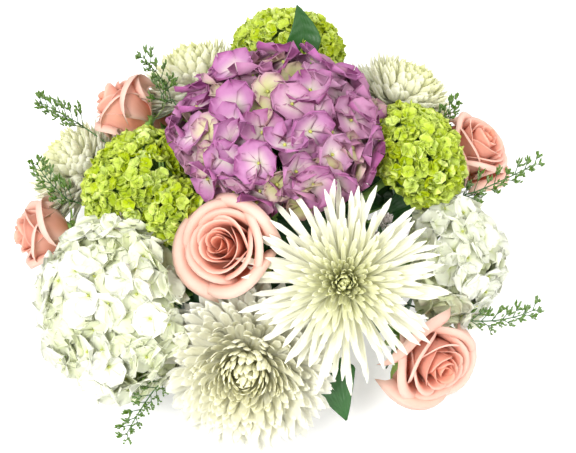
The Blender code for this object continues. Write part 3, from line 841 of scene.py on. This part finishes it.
def surface(name, scale, dark, light, roughness, bump, coat=0.0):
    """A mottled surface with a fine relief."""
    made = bpy.data.materials.new(name)
    made.use_nodes = True
    tree = made.node_tree
    shader = tree.nodes["Principled BSDF"]
    mottled = tree.nodes.new("ShaderNodeGroup")
    mottled.node_tree = mottle_group
    mottled.inputs["Dark"].default_value = (*dark, 1.0)
    mottled.inputs["Light"].default_value = (*light, 1.0)
    mottled.inputs["Scale"].default_value = scale
    mottled.inputs["Fineness"].default_value = 4.0
    tree.links.new(mottled.outputs["Color"], shader.inputs["Base Color"])
    relief = tree.nodes.new("ShaderNodeBump")
    relief.inputs["Strength"].default_value = bump
    relief.inputs["Distance"].default_value = 0.5 * MM
    tree.links.new(mottled.outputs["Height"], relief.inputs["Height"])
    tree.links.new(relief.outputs[0], shader.inputs["Normal"])
    shader.inputs["Roughness"].default_value = roughness
    shader.inputs["Coat Weight"].default_value = coat
    return made


glaze = surface("glaze", 60.0, (0.80, 0.78, 0.71), (0.90, 0.88, 0.83), 0.3, 0.06, coat=0.6)
foam = surface("foam", 300.0, (0.015, 0.05, 0.015), (0.05, 0.13, 0.05), 0.95, 0.8)
BOWL_TURNS = 128
BOWL_FLOOR = 6 * MM      # below this level every point of the section is on the outside


def bowl():
    """The bowl's section, up the outside and down the inside, turned about its axis."""
    points = node_points("bowl")
    radius = np.hypot(points[:, 0], points[:, 1])
    low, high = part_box("bowl")
    section = sorted({(round(r, 4), round(z, 4)) for r, z in zip(radius, points[:, 2])})
    rim_level = max(z for _, z in section)
    edge_radius = next(r for r, z in section if z == rim_level)
    outside = sorted((z, r) for r, z in section if r >= edge_radius or z < BOWL_FLOOR)
    inside = sorted(((z, r) for r, z in section if r < edge_radius and z >= BOWL_FLOOR), reverse=True)
    ring = np.array([(r, z) for z, r in outside + inside])
    angle = np.linspace(0, 2 * np.pi, BOWL_TURNS, endpoint=False)
    rows = len(ring)
    around = np.stack([ring[:, :1] * np.cos(angle), ring[:, :1] * np.sin(angle), ring[:, 1:] + 0 * angle], -1)
    n = np.arange(rows * BOWL_TURNS).reshape(rows, BOWL_TURNS)
    wrap = np.roll(n, -1, axis=1)
    wall = np.stack([n[:-1], wrap[:-1], wrap[1:], n[1:]], -1).reshape(-1, 4).tolist()
    mesh = bpy.data.meshes.new("glazed_bowl")
    mesh.from_pydata(around.reshape(-1, 3).tolist(), [], wall + [n[0, ::-1].tolist(), n[-1].tolist()])
    mesh.materials.append(glaze)
    mesh.shade_smooth()
    mesh.set_sharp_from_angle(angle=math.radians(50))
    piece = bpy.data.objects.new("glazed_bowl", mesh)
    bpy.context.scene.collection.objects.link(piece)
    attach(piece, "root")
    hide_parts("bowl")
    print("bowl section", rows, "rings, top", round(high.z, 4), "bottom", round(low.z, 4))


bowl()
foam_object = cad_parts["floral_foam"]
foam_object.data.materials.clear()
foam_object.data.materials.append(foam)

print("bowl and foam finished")

# %% [markdown]
# The piece stands on a plain white floor, under wide soft lamps, and is seen from well above its front.

# %% Floor, lamps and camera
FLOOR_HALF = 6.0
FLOOR_LIFT = 0.22        # the floor's own light, only for the eye and for reflections
WORLD_LIGHT = 0.9
WORLD_SEEN = 1.0
floor_mesh = bpy.data.meshes.new("floor")
floor_corners = [(x * FLOOR_HALF, y * FLOOR_HALF, 0) for x, y in ((-1, -1), (1, -1), (1, 1), (-1, 1))]
floor_mesh.from_pydata(floor_corners, [], [(0, 1, 2, 3)])
floor = bpy.data.objects.new("floor", floor_mesh)
bpy.context.scene.collection.objects.link(floor)
floor.location.z = -0.2 * MM
paper = bpy.data.materials.new("white_floor")
paper.use_nodes = True
tree = paper.node_tree
tree.nodes["Principled BSDF"].inputs["Base Color"].default_value = (0.9, 0.9, 0.9, 1)
tree.nodes["Principled BSDF"].inputs["Roughness"].default_value = 1.0
tree.nodes["Principled BSDF"].inputs["Specular IOR Level"].default_value = 0.0
seen = tree.nodes.new("ShaderNodeLightPath")
lift = maths(tree, "MULTIPLY", maths(tree, "MAXIMUM", seen.outputs["Is Camera Ray"],
                                     seen.outputs["Is Glossy Ray"]), FLOOR_LIFT)
tree.nodes["Principled BSDF"].inputs["Emission Color"].default_value = (1, 1, 1, 1)
tree.links.new(lift, tree.nodes["Principled BSDF"].inputs["Emission Strength"])
floor_mesh.materials.append(paper)

world = bpy.data.worlds.new("studio")
bpy.context.scene.world = world
world.use_nodes = True
tree = world.node_tree
seen = tree.nodes.new("ShaderNodeLightPath")
eye = maths(tree, "MAXIMUM", seen.outputs["Is Camera Ray"], seen.outputs["Is Glossy Ray"])
eye = maths(tree, "MAXIMUM", eye, seen.outputs["Is Transmission Ray"])
tree.links.new(maths(tree, "ADD", WORLD_LIGHT, maths(tree, "MULTIPLY", eye, WORLD_SEEN - WORLD_LIGHT)),
               tree.nodes["Background"].inputs["Strength"])
tree.nodes["Background"].inputs["Color"].default_value = (1, 1, 1, 1)


def lamp(name, at, size, power):
    """A round soft lamp that faces the flowers."""
    light = bpy.data.lights.new(name, "AREA")
    light.shape = "DISK"
    light.size = size
    light.energy = power
    made = bpy.data.objects.new(name, light)
    bpy.context.scene.collection.objects.link(made)
    made.location = at
    made.rotation_euler = (LAMP_TARGET - Vector(at)).to_track_quat("-Z", "Y").to_euler()


LAMP_TARGET = Vector((0, 0, 0.1))
lamp("key", (-0.6, -0.9, 1.5), 0.7, 25)
lamp("fill", (1.1, -0.7, 1.1), 1.2, 11)
lamp("back", (0.2, 1.2, 1.3), 1.0, 7)

scene = bpy.context.scene
scene.view_settings.view_transform = "Standard"
ELEVATION = math.radians(55)
DISTANCE = 1.2
LENS = 101
target = Vector((0.015, 0.0, 0.110))
camera_data = bpy.data.cameras.new("camera")
camera_data.lens = LENS
camera = bpy.data.objects.new("camera", camera_data)
scene.collection.objects.link(camera)
camera.location = target + DISTANCE * Vector((0, -math.cos(ELEVATION), math.sin(ELEVATION)))
camera.rotation_euler = (target - camera.location).to_track_quat("-Z", "Y").to_euler()
scene.camera = camera
print("camera at", [round(v, 3) for v in camera.location])

# %% [markdown]
# Last, the view layer is brought up to date.

# %% Last update
bpy.context.view_layer.update()
